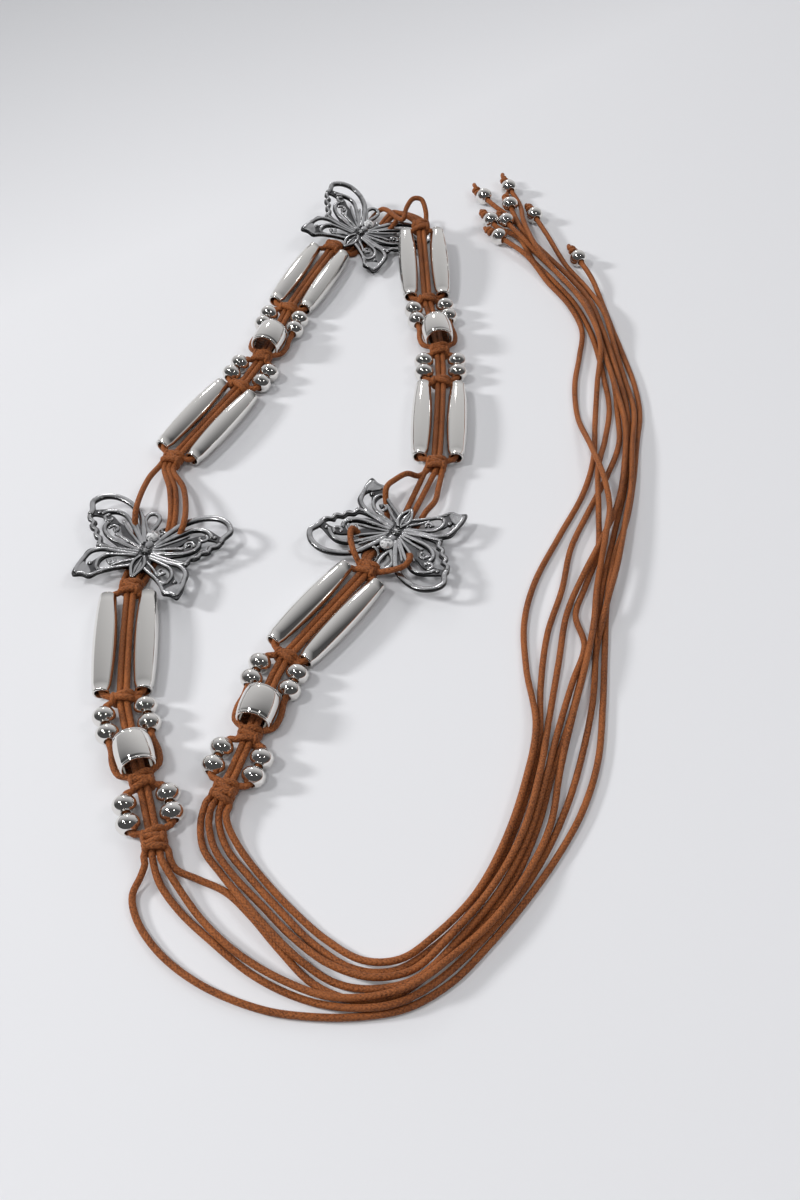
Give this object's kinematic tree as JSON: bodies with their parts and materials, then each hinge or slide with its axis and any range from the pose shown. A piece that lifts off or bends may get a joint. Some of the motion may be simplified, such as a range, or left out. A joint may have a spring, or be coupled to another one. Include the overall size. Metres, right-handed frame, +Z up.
{
  "type": "knotted cord belt with metal beads",
  "caption": "Long tie belt of knotted brown cord with polished tube, round and barrel beads, openwork butterflies with clear stones, and loose beaded cord ends.",
  "frame": {"origin": "middle of the footprint of the beaded part, without the loose cord ends, at the surface that the belt lies on", "axes": "+X across the belt towards the arm with the loose ends beside it, +Y along it towards the top butterfly, +Z up from the surface"},
  "size_m": [0.222, 0.4242, 0.0137],
  "materials": {
    "cord": "waxed cotton cord, woven, matt with a faint sheen",
    "nickel": "mirror polished",
    "antique_silver": "antiqued cast silver tone, polished high spots and dark hollows, with clear cut stones"
  },
  "bodies": {
    "root": {"barrel_bead_left_lower": "nickel", "barrel_bead_left_upper": "nickel", "barrel_bead_right_lower": "nickel", "barrel_bead_right_upper": "nickel", "butterfly_left": "antique_silver", "butterfly_right": "antique_silver", "butterfly_top": "antique_silver", "cord_work_left_lower": "cord", "cord_work_left_upper": "cord", "cord_work_right_lower": "cord", "cord_work_right_upper": "cord", "end_bead_left_1": "nickel", "end_bead_left_2": "nickel", "end_bead_left_3": "nickel", "end_bead_left_4": "nickel", "end_bead_right_1": "nickel", "end_bead_right_2": "nickel", "end_bead_right_3": "nickel", "end_bead_right_4": "nickel", "round_beads_left_1_left": "nickel", "round_beads_left_1_right": "nickel", "round_beads_left_2_left": "nickel", "round_beads_left_2_right": "nickel", "round_beads_left_3_left": "nickel", "round_beads_left_3_right": "nickel", "round_beads_left_4_left": "nickel", "round_beads_left_4_right": "nickel", "round_beads_right_1_left": "nickel", "round_beads_right_1_right": "nickel", "round_beads_right_2_left": "nickel", "round_beads_right_2_right": "nickel", "round_beads_right_3_left": "nickel", "round_beads_right_3_right": "nickel", "round_beads_right_4_left": "nickel", "round_beads_right_4_right": "nickel", "tail_cord_left_1": "cord", "tail_cord_left_2": "cord", "tail_cord_left_3": "cord", "tail_cord_left_4": "cord", "tail_cord_right_1": "cord", "tail_cord_right_2": "cord", "tail_cord_right_3": "cord", "tail_cord_right_4": "cord", "tube_bead_left_1_left": "nickel", "tube_bead_left_1_right": "nickel", "tube_bead_left_2_left": "nickel", "tube_bead_left_2_right": "nickel", "tube_bead_left_3_left": "nickel", "tube_bead_left_3_right": "nickel", "tube_bead_right_1_left": "nickel", "tube_bead_right_1_right": "nickel", "tube_bead_right_2_left": "nickel", "tube_bead_right_2_right": "nickel", "tube_bead_right_3_left": "nickel", "tube_bead_right_3_right": "nickel"}
  },
  "joints": []
}
